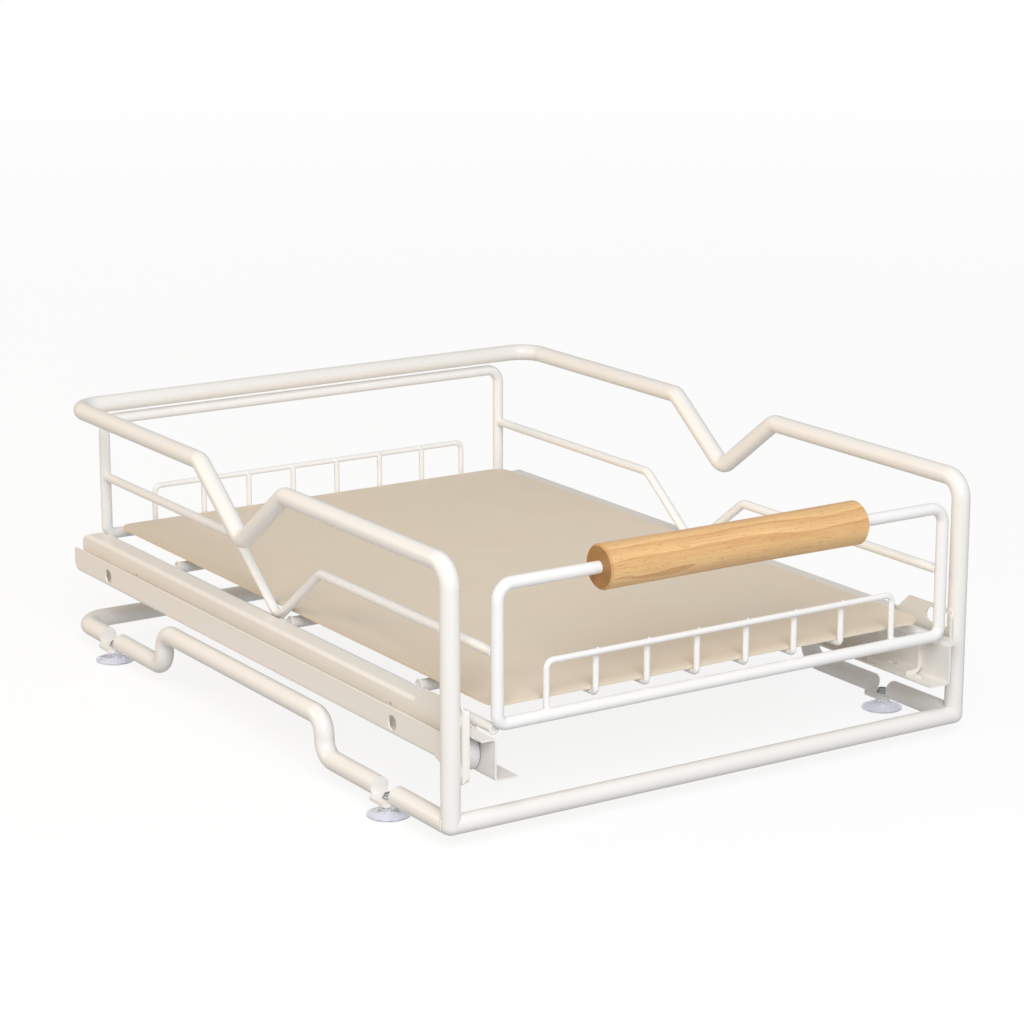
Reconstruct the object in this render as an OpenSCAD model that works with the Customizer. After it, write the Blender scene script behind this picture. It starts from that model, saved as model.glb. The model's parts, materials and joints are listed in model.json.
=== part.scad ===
// Pull out cabinet basket: a tube stand with two roller slides and a wire basket
// All lengths in millimetres, front towards -Y, up is +Z, ground at zero

/* [Stand] */
// Width between the centre lines of the side tubes
stand_width = 384; // [350:1:440]
// Depth between the centre lines of the front and back tubes
stand_depth = 504; // [490:1:540]
// Height of the base loop's centre line above the ground
base_height = 15; // [14:0.5:20]
// Height of the top rail's centre line above the base loop's
rail_rise = 157; // [140:1:190]
// Diameter of the base loop's tube
base_tube_d = 12.7; // [11:0.1:14]
// Diameter of the top rail's tube
top_tube_d = 12; // [10:0.1:13]
// How far the middle of each side of the top rail drops
stand_v_depth = 40; // [25:1:50]
// How far the arch in each side of the base stands up
arch_rise = 25; // [24:0.5:27]

/* [Suction cups] */
// Diameter of a cup's rim
cup_d = 27; // [22:0.5:32]
// Distance of the front cups from the front tube
front_cup_reach = 71; // [60:1:90]
// Distance of the rear cups from the back tube
rear_cup_reach = 55; // [45:1:80]

/* [Slides] */
// Thickness of the slides' sheet
sheet_t = 1.2; // [1:0.1:1.4]
// Height of a cabinet rail's underside above the base loop's centre line
slide_rise = 34.2; // [33:0.1:38]
// Height of a cabinet rail
cabinet_rail_h = 29.2; // [28:0.1:31]
// Width of a cabinet rail
cabinet_rail_w = 12.8; // [12:0.1:16]
// How far a cabinet rail reaches behind the back tube's centre line
cabinet_rail_tail = 6; // [0:0.5:10]
// Height of a drawer rail
drawer_rail_h = 26.7; // [26:0.1:28]
// Length of a drawer rail
drawer_rail_l = 500; // [480:1:505]
// Diameter of the front rollers
front_roller_d = 24; // [22:0.1:24.4]
// Diameter of the axles
axle_d = 5.9; // [4:0.1:6.5]
// How far the basket pulls out
travel = 375; // [250:1:380]

/* [Basket] */
// Depth between the centre lines of the front and rear frames
basket_depth = 520; // [505:1:530]
// Diameter of the rod of the two frames
frame_rod_d = 7.8; // [6:0.1:8]
// Diameter of the side rods
side_rod_d = 6; // [5:0.1:7]
// Diameter of the cross rods
cross_rod_d = 7.8; // [6:0.1:8]
// Diameter of the rods with a V
v_rod_d = 6.2; // [5:0.1:7]
// How far the middle of each V rod drops
basket_v_depth = 40; // [25:1:50]
// Diameter of the floor wires and the fences
wire_d = 3.9; // [3:0.1:4.5]
// Distance between floor wires
wire_pitch = 37.1; // [28:0.1:38]
// Height of the fences above the floor wires
fence_rise = 27; // [18:0.5:34]
// Width between the end wires of a fence
fence_width = 261; // [256:1:280]
// Thickness of the floor panel
panel_t = 2; // [0.8:0.1:3]
// Thickness of the angle brackets
bracket_t = 3; // [2:0.1:3.2]
// Length of the angle brackets
bracket_l = 40; // [30:1:44]

/* [Grip] */
// Length of the grip
grip_l = 193; // [120:1:260]
// Diameter of the grip at its ends
grip_d = 27.8; // [22:0.1:34]
// How much thinner the grip is at its middle
grip_waist = 0.8; // [0:0.1:2]

/* [Hidden] */
$fn = 64;
left = -1;
right = 1;

// Overrun of every cut past the faces it opens
over = 1;
// Clearances between pieces
run_gap = 0.3;
lift_gap = 0.5;
side_gap = 0.6;
axle_gap = 0.05;
bore_gap = 0.1;
headroom = 2.7;

// Bends of the tubes, measured on their centre lines
base_back_r = 18;
arch_r = 11.5;
top_front_r = 13.5;
top_back_r = 18;
stand_v_r = 10;
frame_top_r = 10;
frame_foot_r = 6;
basket_v_r = 9;
picket_r = 3;
fence_r = 5;
sheet_r = 2.2;
bracket_r = 4.5;

// How far a sloping rod's legs enter its bends, and how much thinner they are
leg_entry = 0.05;
leg_thin = 0.02;

// Slope of the legs of every V, in degrees
v_slope = 36.6;
// Share of a unit direction above which it counts as upright
upright_share = 0.9;
half_turn = 180;

// Stand places
half_w = stand_width / 2;
half_d = stand_depth / 2;
top_z = base_height + rail_rise;
base_setback = 2;
arch_front_reach = 149;
arch_back_reach = 134;
arch_front_y = -half_d + arch_front_reach;
arch_back_y = half_d - arch_back_reach;
front_cup_y = -half_d + front_cup_reach;
rear_cup_y = half_d - rear_cup_reach;

// Crimped tabs that hold the cups
tab_t = 2.2;
tab_w = 17.6;
tab_r = 4;
tab_hole_d = 5;
notch_half = 10.5;
tab_z = base_height - base_tube_d / 2;

// Suction cup
cup_neck_d = 4.8;
cup_shoulder_d = 8.4;
cup_shoulder_h = 2.6;
cup_rim_t = 0.9;
cup_wall = 1.3;
cup_head_d = 7.6;
cup_head_h = 3;
cup_dome_share = 0.62;
cup_flare = 1.7;
cup_steps = 9;

// Slide heights and sides
cabinet_z = base_height + slide_rise;
cabinet_top_z = cabinet_z + cabinet_rail_h;
cabinet_x = half_w - top_tube_d / 2;
cabinet_nose = 5.5;
cabinet_front_y = -half_d - cabinet_nose;
cabinet_rear_y = half_d + cabinet_rail_tail;
top_flange_setback = 56.5;
top_flange_front_y = cabinet_front_y + top_flange_setback;
cabinet_rear_r = 8;
lip_w = 3.8;
tab_rise = 8.6;
tab_slant = 12;
tab_drop = 10.7;
tab_corner_r = 6;
slot_l = 23;
slot_h = 10;
slot_setback = 15.5;
slot_drop = 7.8;
pin_d = 2.6;
pin_front_setback = 83.5;
pin_rear_setback = 87.5;
pin_drop = 11.6;

// Outer wall of the stand beside each cabinet rail
wall_lift = 2.8;
wall_h = 17;
wall_tail = 6;
wall_gusset_r = 10;
wall_rear_r = 8;
wall_top_r = 2.5;
wall_hole_d = 10;
wall_hole_drop = 9.2;
wall_hole_front = 65;
wall_hole_rear = 49;
wall_z = cabinet_z + wall_lift;
wall_top_z = wall_z + wall_h;
wall_front_y = -half_d + top_tube_d / 2;
wall_rear_y = half_d + wall_tail;

// Drawer rail
drawer_drop = 6.2;
drawer_z = cabinet_z - drawer_drop;
drawer_top_z = drawer_z + drawer_rail_h;
drawer_x = cabinet_x - cabinet_rail_w - side_gap;
drawer_in_x = drawer_x - sheet_t;
drawer_flange_w = 9;
drawer_foot_w = 14.9;
frame_reach = 11.5;
front_frame_y = -half_d - frame_reach;
rear_frame_y = front_frame_y + basket_depth;
drawer_nose = 6;
drawer_front_y = front_frame_y - drawer_nose;
drawer_rear_y = drawer_front_y + drawer_rail_l;
drawer_hole_d = 5.5;
drawer_hole_setback = 19.5;

// Rollers and axles
roller_w = 11.1;
roller_side_gap = 0.5;
roller_chamfer = 1;
roller_groove_in_d = 12.6;
roller_groove_w = 3;
roller_groove_depth = 1.2;
roller_bore_d = axle_d + 2 * axle_gap;
head_d = 9;
head_t = 1;
head_recess_d = 10;
head_recess = 1.6;
head_play = 0.25;
front_roller_setback = 14;
rear_roller_setback = 14;
rear_roller_d = cabinet_rail_h - 2 * sheet_t - run_gap - lift_gap;
roller_out_x = cabinet_x - sheet_t - roller_side_gap;
roller_in_x = roller_out_x - roller_w;
front_roller_y = cabinet_front_y + front_roller_setback;
front_roller_z = drawer_top_z - sheet_t - run_gap - front_roller_d / 2;
rear_roller_y = drawer_rear_y - rear_roller_setback;
rear_roller_z = cabinet_z + sheet_t + run_gap + rear_roller_d / 2;
roller_notch_gap = 1.5;
foot_flange_front_y = front_roller_y + front_roller_d / 2 + roller_notch_gap;
stop_r = 2;

// Basket places
post_inset = 4.4;
basket_x = drawer_in_x - post_inset;
basket_y = (front_frame_y + rear_frame_y) / 2;
side_rod_rise = 2.2;
side_rod_z = drawer_top_z + side_rod_rise;
frame_step = 3.3;
frame_z = side_rod_z + frame_step;
frame_top_z = top_z - top_tube_d / 2 - headroom - frame_rod_d / 2;
cross_rod_rise = 2;
cross_rod_z = side_rod_z + cross_rod_rise;
cross_rod_pitch = 161;
cross_rod_shift = 7;
wire_z = cross_rod_z + cross_rod_d / 2 + wire_d / 2;
v_tip_z = side_rod_z + side_rod_d / 2 + v_rod_d / 2;
fence_inset = frame_rod_d / 2;
picket_inset = fence_inset + wire_d;
fence_top_z = wire_z + fence_rise;
wire_count = 6;
panel_z = wire_z + wire_d / 2;
panel_inset = 4;
panel_gap = 0.3;
panel_r = 10;
front_bracket_setback = 46.5;
rear_bracket_setback = 60.5;
bracket_foot_w = 12.5;
bracket_slot_l = 8;
bracket_slot_w = 5;
front_bracket_y = drawer_front_y + front_bracket_setback;
rear_bracket_y = drawer_rear_y - rear_bracket_setback;
grip_bore_d = frame_rod_d + 2 * bore_gap;
grip_edge = 1.2;
grip_steps = 12;

// The origin is midway between the grip's front and the rear frame's back, on the ground
centre_y = (front_frame_y - grip_d / 2 + rear_frame_y + frame_rod_d / 2) / 2;

// Directions and corners of a bent path
function unit(v) = v / norm(v);
function level(d) = abs(d.z) > upright_share ? [1, 0, 0] : unit(cross([0, 0, 1], d));
function leg(points, i) = unit(points[(i + 1) % len(points)] - points[i % len(points)]);
function turn(points, i) =
    acos(min(1, leg(points, i + len(points) - 1) * leg(points, i)));
function is_end(points, closed, i) = !closed && (i == 0 || i == len(points) - 1);
function trim(points, radii, closed, i) =
    is_end(points, closed, i) ? 0 : radii[i] * tan(turn(points, i) / 2);
function placed(x, y, z, o) =
    [[x.x, y.x, z.x, o.x], [x.y, y.y, z.y, o.y], [x.z, y.z, z.z, o.z]];

// Height of a V's sharp corner below its rounded tip, and half the width of its mouth
function v_sag(r) = r * (1 / cos(v_slope) - 1);
function v_run(depth, r) = (depth + v_sag(r)) / tan(v_slope);

// Sweeps a flat section along straight legs with rounded corners
module along(points, radii, closed = false, normal = undef) {
    count = len(points);
    for (i = [0 : closed ? count - 1 : count - 2]) {
        d = leg(points, i);
        y = normal == undef ? level(d) : normal;
        start = trim(points, radii, closed, i);
        end = trim(points, radii, closed, (i + 1) % count);
        length = norm(points[(i + 1) % count] - points[i]) - start - end;
        multmatrix(placed(cross(y, d), y, d, points[i] + d * start))
            linear_extrude(height = length) children();
    }
    bends(points, radii, closed) children();
}

// Rounded corners of a path
module bends(points, radii, closed) {
    count = len(points);
    for (i = [closed ? 0 : 1 : closed ? count - 1 : count - 2]) {
        angle = turn(points, i);
        before = leg(points, i + count - 1);
        centre = points[i] + unit(leg(points, i) - before) * radii[i] / cos(angle / 2);
        u = unit(points[i] - before * trim(points, radii, closed, i) - centre);
        multmatrix(placed(u, before, cross(u, before), centre))
            rotate_extrude(angle = angle) translate([radii[i], 0]) children();
    }
}

// Open path of rod with sloping legs, which enter the bends at their ends a hair thinner
module sloping_rod(points, radii, d) {
    last = len(points) - 2;
    for (i = [0 : last]) {
        way = leg(points, i);
        start = trim(points, radii, false, i) - (i == 0 ? 0 : leg_entry);
        end = trim(points, radii, false, i + 1) - (i == last ? 0 : leg_entry);
        y = level(way);
        multmatrix(placed(cross(y, way), y, way, points[i] + way * start))
            cylinder(d = d - leg_thin, h = norm(points[i + 1] - points[i]) - start - end);
    }
    bends(points, radii, false) circle(d = d);
}

// Moves a piece from the stand's middle to the part's origin
module set_down() {
    translate([0, -centre_y, 0]) children();
}

// Places a piece drawn for the right side on either side
module on_side(side) {
    if (side == right) children();
    else mirror([1, 0, 0]) children();
}

// Extrudes an outline drawn in Y and Z across a sheet that stands upright
module upright_sheet(x, t) {
    multmatrix(placed([0, 1, 0], [0, 0, 1], [1, 0, 0], [x, 0, 0]))
        linear_extrude(height = t) children();
}

// The part of a square corner that a rounding removes, for a corner at the origin
module corner_waste(r) {
    difference() {
        translate([-r, -r]) square([r + over, r + over]);
        translate([-r, -r]) circle(r = r);
    }
}

// Rounded plate outline
module rounded_outline(x, y, r) {
    translate([-x / 2 + r, -y / 2]) square([x - 2 * r, y]);
    translate([-x / 2, -y / 2 + r]) square([x, y - 2 * r]);
    for (sx = [-1, 1], sy = [-1, 1])
        translate([sx * (x / 2 - r), sy * (y / 2 - r)]) circle(r = r);
}

// Oblong hole outline, long in X
module oblong(l, h) {
    translate([-(l - h) / 2, -h / 2]) square([l - h, h]);
    for (s = [-1, 1]) translate([s * (l - h) / 2, 0]) circle(d = h);
}

// Points of one side of the base, from its front end to the back
function base_side(side) = [
    [side * half_w, base_setback - half_d, base_height],
    [side * half_w, arch_front_y, base_height],
    [side * half_w, arch_front_y, base_height + arch_rise],
    [side * half_w, arch_back_y, base_height + arch_rise],
    [side * half_w, arch_back_y, base_height],
    [side * half_w, half_d, base_height]
];
function reversed(list) = [for (i = [len(list) - 1 : -1 : 0]) list[i]];

// Open tube round the sides and the back, before its cups' tabs are crimped
module base_tube() {
    radii = [0, arch_r, arch_r, arch_r, arch_r, base_back_r];
    along(concat(base_side(left), reversed(base_side(right))), concat(radii, reversed(radii)))
        circle(d = base_tube_d);
}

// Flat tab between two open tube ends
module crimp() {
    translate([0, 0, tab_z]) linear_extrude(height = tab_t)
        rounded_outline(tab_w, 2 * notch_half, tab_r);
}

// The front ends are cut to fit the corners of the front loop
module base_loop() {
    set_down() color("linen") difference() {
        union() {
            difference() {
                base_tube();
                front_bar();
                for (side = [left, right]) translate([side * half_w, -half_d, base_height])
                    cylinder(d = top_tube_d - leg_thin, h = base_tube_d);
                for (side = [left, right], y = [front_cup_y, rear_cup_y])
                    translate([side * half_w - tab_w / 2, y - notch_half, 0])
                        cube([tab_w, 2 * notch_half, base_height + base_tube_d]);
            }
            for (side = [left, right], y = [front_cup_y, rear_cup_y])
                translate([side * half_w, y, 0]) crimp();
        }
        for (side = [left, right], y = [front_cup_y, rear_cup_y])
            translate([side * half_w, y, tab_z - over])
                cylinder(d = tab_hole_d, h = tab_t + 2 * over);
    }
}

// Points of one side of the top rail, from the upright's foot to the back
function rail_side(side) = [
    [side * half_w, -half_d, base_height],
    [side * half_w, -half_d, top_z],
    [side * half_w, -v_run(stand_v_depth, stand_v_r), top_z],
    [side * half_w, 0, top_z - stand_v_depth - v_sag(stand_v_r)],
    [side * half_w, v_run(stand_v_depth, stand_v_r), top_z],
    [side * half_w, half_d, top_z]
];

// Bar between the feet of the uprights, a hair thinner than its round corners
module front_bar() {
    for (side = [left, right]) translate([side * half_w, -half_d, base_height])
        sphere(d = top_tube_d);
    translate([-half_w, -half_d, base_height]) rotate([0, 90, 0])
        cylinder(d = top_tube_d - leg_thin, h = stand_width);
}

// One closed tube: the bar, the uprights, the sides with their V's and the back
module top_rail() {
    radii = [0, top_front_r, stand_v_r, stand_v_r, stand_v_r, top_back_r];
    set_down() color("linen") {
        sloping_rod(concat(rail_side(left), reversed(rail_side(right))),
                    concat(radii, reversed(radii)), top_tube_d);
        front_bar();
    }
}

// Outline of a cup's skin at a height share, drawn in towards its shoulder
function cup_reach(share, rim, top) = top + (rim - top) * pow(1 - share, cup_flare);

// Hollow bell with a rim, a shoulder under the tab, a neck through it and a head above
module cup(side, y) {
    dome_h = tab_z - cup_shoulder_h;
    hollow_h = dome_h * cup_dome_share;
    rim = cup_d / 2;
    skin = [for (i = [0 : cup_steps]) [
        cup_reach(i / cup_steps, rim, cup_shoulder_d / 2),
        cup_rim_t + (dome_h - cup_rim_t) * i / cup_steps
    ]];
    hollow = [for (i = [cup_steps : -1 : 0]) [
        cup_reach(i / cup_steps, rim - cup_wall, 0),
        hollow_h * i / cup_steps
    ]];
    set_down() color("lightsteelblue") translate([side * half_w, y, 0]) {
        rotate_extrude() polygon(concat(
            hollow, [[rim, 0]], skin,
            [[cup_shoulder_d / 2, tab_z], [cup_neck_d / 2, tab_z],
             [cup_neck_d / 2, tab_z + tab_t], [cup_head_d / 2, tab_z + tab_t],
             [cup_neck_d / 2, tab_z + tab_t + cup_head_h], [0, tab_z + tab_t + cup_head_h]]
        ));
    }
}

// Folded sheet that stands outside a cabinet rail and carries it
module rail_wall(side) {
    length = wall_rear_y - wall_front_y - wall_gusset_r;
    middle = wall_rear_y - length / 2;
    line_z = wall_z + sheet_t / 2;
    set_down() color("bisque") on_side(side) difference() {
        union() {
            along([[cabinet_x, middle, line_z], [half_w, middle, line_z],
                   [half_w, middle, wall_top_z]], [0, sheet_r, 0], normal = [0, 1, 0])
                square([sheet_t, length], center = true);
            upright_sheet(half_w - sheet_t / 2, sheet_t) difference() {
                translate([wall_front_y, wall_z - wall_gusset_r])
                    square([wall_gusset_r, wall_h + wall_gusset_r]);
                translate([wall_front_y + wall_gusset_r, wall_z - wall_gusset_r])
                    circle(r = wall_gusset_r);
            }
        }
        upright_sheet(cabinet_x - over, half_w - cabinet_x + 2 * over) {
            translate([wall_rear_y, wall_z]) mirror([0, 1]) corner_waste(wall_rear_r);
            translate([wall_rear_y, wall_top_z]) corner_waste(wall_top_r);
            for (y = [-half_d + wall_hole_front, half_d - wall_hole_rear])
                translate([y, wall_top_z - wall_hole_drop]) circle(d = wall_hole_d);
        }
    }
}

// Raised front tab of a cabinet rail, seen from the side
module nose_outline() {
    top = cabinet_top_z + tab_rise;
    foot = cabinet_z - tab_drop;
    step = foot_flange_front_y - over;
    difference() {
        polygon([
            [cabinet_front_y, foot], [step, foot], [step, cabinet_z],
            [top_flange_front_y + over, cabinet_z],
            [top_flange_front_y + over, cabinet_top_z - sheet_r],
            [top_flange_front_y, cabinet_top_z - sheet_r],
            [top_flange_front_y - tab_slant, top], [cabinet_front_y, top]
        ]);
        translate([cabinet_front_y, top]) mirror([1, 0]) corner_waste(tab_corner_r);
        translate([cabinet_front_y, foot]) rotate(180) corner_waste(tab_corner_r);
        translate([cabinet_front_y + slot_setback, top - slot_drop]) oblong(slot_l, slot_h);
        translate([front_roller_y, front_roller_z]) circle(d = roller_bore_d);
    }
}

// Channel fixed to the stand: web, top flange, bottom flange and a lipped nose
module cabinet_rail(side) {
    line_x = cabinet_x - sheet_t / 2;
    in_x = cabinet_x - cabinet_rail_w;
    mid_z = cabinet_z + cabinet_rail_h / 2;
    top_l = cabinet_rear_y - top_flange_front_y;
    foot_l = cabinet_rear_y - foot_flange_front_y;
    top_y = cabinet_rear_y - top_l / 2;
    foot_y = cabinet_rear_y - foot_l / 2;
    top_line_z = cabinet_top_z - sheet_t / 2;
    foot_line_z = cabinet_z + sheet_t / 2;
    nose_y = cabinet_front_y + sheet_t / 2;
    nose_mid_z = (cabinet_top_z + tab_rise + cabinet_z - tab_drop) / 2;
    nose_h = cabinet_rail_h + tab_rise + tab_drop;
    stop_reach = sqrt(pow(rear_roller_d / 2 + stop_r, 2) - pow(rear_roller_d / 2 + run_gap, 2));
    stop_y = rear_roller_y - travel - stop_reach - run_gap;
    set_down() color("bisque") on_side(side) {
        difference() {
            union() {
                along([[in_x, top_y, top_line_z], [line_x, top_y, top_line_z],
                       [line_x, top_y, mid_z]], [0, sheet_r, 0], normal = [0, 1, 0])
                    square([sheet_t, top_l], center = true);
                along([[line_x, foot_y, mid_z], [line_x, foot_y, foot_line_z],
                       [in_x, foot_y, foot_line_z]], [0, sheet_r, 0], normal = [0, 1, 0])
                    square([sheet_t, foot_l], center = true);
                intersection() {
                    along([[cabinet_x - lip_w, nose_y, nose_mid_z], [line_x, nose_y, nose_mid_z],
                           [line_x, top_flange_front_y, nose_mid_z]],
                          [0, sheet_r, 0], normal = [0, 0, 1])
                        square([sheet_t, nose_h], center = true);
                    upright_sheet(in_x, cabinet_rail_w) nose_outline();
                }
                intersection() {
                    translate([in_x, stop_y, cabinet_z + sheet_t]) rotate([0, 90, 0])
                        cylinder(r = stop_r, h = cabinet_rail_w - sheet_t);
                    translate([in_x, stop_y - stop_r, cabinet_z + sheet_t])
                        cube([cabinet_rail_w, 2 * stop_r, stop_r]);
                }
            }
            upright_sheet(in_x - over, cabinet_rail_w + 2 * over) {
                translate([cabinet_rear_y, cabinet_top_z]) corner_waste(cabinet_rear_r);
                for (y = [cabinet_front_y + pin_front_setback, cabinet_rear_y - pin_rear_setback])
                    translate([y, cabinet_top_z - pin_drop]) circle(d = pin_d);
            }
        }
    }
}

// Rail that slides with the basket: outward top flange, web and inward foot
module drawer_rail(side) {
    line_x = drawer_x - sheet_t / 2;
    mid_z = drawer_z + drawer_rail_h / 2;
    notch_y = rear_roller_y - rear_roller_d / 2 - roller_notch_gap;
    top_l = notch_y - drawer_front_y;
    top_y = drawer_front_y + top_l / 2;
    foot_y = drawer_front_y + drawer_rail_l / 2;
    top_line_z = drawer_top_z - sheet_t / 2;
    foot_line_z = drawer_z + sheet_t / 2;
    hole_x = drawer_in_x - drawer_foot_w / 2;
    set_down() color("whitesmoke") on_side(side) difference() {
        union() {
            along([[drawer_x + drawer_flange_w, top_y, top_line_z], [line_x, top_y, top_line_z],
                   [line_x, top_y, mid_z]], [0, sheet_r, 0], normal = [0, 1, 0])
                square([sheet_t, top_l], center = true);
            along([[line_x, foot_y, mid_z], [line_x, foot_y, foot_line_z],
                   [drawer_in_x - drawer_foot_w, foot_y, foot_line_z]],
                  [0, sheet_r, 0], normal = [0, 1, 0])
                square([sheet_t, drawer_rail_l], center = true);
            upright_sheet(drawer_in_x, sheet_t) difference() {
                translate([notch_y, mid_z])
                    square([drawer_rear_y - notch_y, drawer_top_z - mid_z]);
                translate([drawer_rear_y, drawer_top_z]) corner_waste(tab_corner_r);
            }
        }
        upright_sheet(drawer_in_x - over, sheet_t + 2 * over)
            translate([rear_roller_y, rear_roller_z]) circle(d = roller_bore_d);
        for (y = [drawer_front_y + drawer_hole_setback, front_bracket_y, rear_bracket_y])
            translate([hole_x, y, drawer_z - over])
                cylinder(d = drawer_hole_d, h = sheet_t + 2 * over);
    }
}

// Half outline of a roller: bore, recess for the axle's head, a ring groove and a chamfered tread
module roller_outline(d) {
    groove = roller_groove_in_d / 2;
    difference() {
        polygon([
            [roller_bore_d / 2, 0], [d / 2 - roller_chamfer, 0], [d / 2, roller_chamfer],
            [d / 2, roller_w - roller_chamfer], [d / 2 - roller_chamfer, roller_w],
            [head_recess_d / 2, roller_w], [head_recess_d / 2, roller_w - head_recess],
            [roller_bore_d / 2, roller_w - head_recess]
        ]);
        translate([groove, roller_w - roller_groove_depth])
            square([roller_groove_w, roller_groove_depth + over]);
    }
}

// Front rollers have their recess towards the basket
module front_roller(side) {
    set_down() color("gainsboro") on_side(side)
        translate([roller_out_x, front_roller_y, front_roller_z]) rotate([0, -90, 0])
            rotate_extrude() roller_outline(front_roller_d);
}

// Rear rollers have their recess towards the stand
module rear_roller(side) {
    set_down() color("gainsboro") on_side(side)
        translate([roller_in_x, rear_roller_y, rear_roller_z]) rotate([0, 90, 0])
            rotate_extrude() roller_outline(rear_roller_d);
}

// Rivet drawn up from its fixed head: head, shank through the web and roller, loose head
module axle(web_to_roller) {
    shank = sheet_t + web_to_roller + roller_w - head_recess + head_play;
    translate([0, 0, -head_t]) cylinder(d = head_d, h = head_t);
    cylinder(d = axle_d, h = shank);
    translate([0, 0, shank]) cylinder(d = head_d, h = head_t);
}

module front_axle(side) {
    set_down() color("silver") on_side(side)
        translate([cabinet_x, front_roller_y, front_roller_z]) rotate([0, -90, 0])
            axle(roller_side_gap);
}

module rear_axle(side) {
    set_down() color("silver") on_side(side)
        translate([drawer_in_x, rear_roller_y, rear_roller_z]) rotate([0, 90, 0])
            axle(roller_in_x - drawer_x);
}

// Angle bracket between a side rod and a drawer rail's foot
module bracket(side, y) {
    line_x = drawer_in_x - bracket_t / 2;
    line_z = drawer_z + sheet_t + bracket_t / 2;
    edge = drawer_in_x - bracket_t - basket_x;
    rod_under_z = side_rod_z - sqrt(pow(side_rod_d / 2, 2) - pow(edge, 2));
    set_down() color("whitesmoke") on_side(side) difference() {
        along([[line_x, y, rod_under_z], [line_x, y, line_z],
               [drawer_in_x - bracket_foot_w, y, line_z]], [0, bracket_r, 0], normal = [0, 1, 0])
            square([bracket_t, bracket_l], center = true);
        translate([drawer_in_x - drawer_foot_w / 2, y, drawer_z]) rotate(90)
            linear_extrude(height = sheet_t + bracket_t + over)
                oblong(bracket_slot_l, bracket_slot_w);
    }
}

// Rectangular loop of rod at the front or rear of the basket
module frame_loop(y) {
    points = [[-basket_x, y, frame_z], [-basket_x, y, frame_top_z],
              [basket_x, y, frame_top_z], [basket_x, y, frame_z]];
    radii = [frame_foot_r, frame_top_r, frame_top_r, frame_foot_r];
    set_down() color("white") along(points, radii, closed = true) circle(d = frame_rod_d);
}

// Side rod with a V whose tip stands on the straight side rod
module v_rod(side) {
    run = v_run(basket_v_depth, basket_v_r);
    high = v_tip_z + basket_v_depth;
    x = side * basket_x;
    points = [
        [x, front_frame_y + frame_rod_d / 2, high], [x, -run, high],
        [x, 0, v_tip_z - v_sag(basket_v_r)],
        [x, run, high], [x, rear_frame_y - frame_rod_d / 2, high]
    ];
    set_down() color("linen")
        sloping_rod(points, [0, basket_v_r, basket_v_r, basket_v_r, 0], v_rod_d);
}

// Straight rod under each side of the basket
module side_rod(side) {
    front = front_frame_y + frame_rod_d / 2;
    set_down() color("linen") translate([side * basket_x, front, side_rod_z]) rotate([-90, 0, 0])
        cylinder(d = side_rod_d, h = basket_depth - frame_rod_d);
}

// Rod across the basket between the two side rods
module cross_rod(place) {
    half = basket_x - side_rod_d / 2;
    y = basket_y - cross_rod_shift + place * cross_rod_pitch;
    set_down() color("lightgrey") translate([-half, y, cross_rod_z]) rotate([0, 90, 0])
        cylinder(d = cross_rod_d, h = 2 * half);
}

// Floor wire that turns up at both ends as a picket of the fences
module floor_wire(index) {
    x = (index - (wire_count + 1) / 2) * wire_pitch;
    front = front_frame_y + picket_inset;
    rear = rear_frame_y - picket_inset;
    points = [[x, front, fence_top_z], [x, front, wire_z], [x, rear, wire_z], [x, rear, fence_top_z]];
    set_down() color("white") along(points, [0, picket_r, picket_r, 0]) circle(d = wire_d);
}

// Wire fence with rounded corners, cut to stand on the inner edge of a frame's lower rod
module fence(frame_y, y) {
    points = [[-fence_width / 2, y, frame_z], [-fence_width / 2, y, fence_top_z],
              [fence_width / 2, y, fence_top_z], [fence_width / 2, y, frame_z]];
    set_down() color("white") difference() {
        along(points, [0, fence_r, fence_r, 0]) circle(d = wire_d);
        translate([-basket_x, frame_y, frame_z]) rotate([0, 90, 0])
            cylinder(d = frame_rod_d, h = 2 * basket_x);
    }
}

// Thin floor with rounded corners, resting on the wires
module floor_panel() {
    front = front_frame_y + picket_inset + picket_r + panel_gap;
    rear = rear_frame_y - picket_inset - picket_r - panel_gap;
    set_down() color("wheat") translate([0, (front + rear) / 2, panel_z])
        linear_extrude(height = panel_t)
            rounded_outline(2 * (basket_x - panel_inset), rear - front, panel_r);
}

// Turned grip on the front frame's top rod, thinner at its middle
function grip_radius(share) = grip_d / 2 - grip_waist / 2 * sin(half_turn * share);
module grip() {
    inner_l = grip_l - 2 * grip_edge;
    side_points = [for (i = [0 : grip_steps])
        [grip_radius(i / grip_steps), grip_edge + inner_l * i / grip_steps]];
    set_down() color("burlywood") translate([-grip_l / 2, front_frame_y, frame_top_z])
        rotate([0, 90, 0]) rotate_extrude() polygon(concat(
            [[grip_bore_d / 2, 0], [grip_d / 2 - grip_edge, 0]], side_points,
            [[grip_d / 2 - grip_edge, grip_l], [grip_bore_d / 2, grip_l]]
        ));
}

base_loop();
top_rail();
rail_wall(left);  // left_rail_wall
rail_wall(right);  // right_rail_wall
cabinet_rail(left);  // left_cabinet_rail
cabinet_rail(right);  // right_cabinet_rail
front_axle(left);  // left_front_axle
front_axle(right);  // right_front_axle
cup(left, front_cup_y);  // front_left_cup
cup(right, front_cup_y);  // front_right_cup
cup(left, rear_cup_y);  // rear_left_cup
cup(right, rear_cup_y);  // rear_right_cup
front_roller(left);  // front_left_roller
front_roller(right);  // front_right_roller
rear_roller(left);  // rear_left_roller
rear_roller(right);  // rear_right_roller
drawer_rail(left);  // left_drawer_rail
drawer_rail(right);  // right_drawer_rail
rear_axle(left);  // left_rear_axle
rear_axle(right);  // right_rear_axle
bracket(left, front_bracket_y);  // front_left_bracket
bracket(right, front_bracket_y);  // front_right_bracket
bracket(left, rear_bracket_y);  // rear_left_bracket
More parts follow.
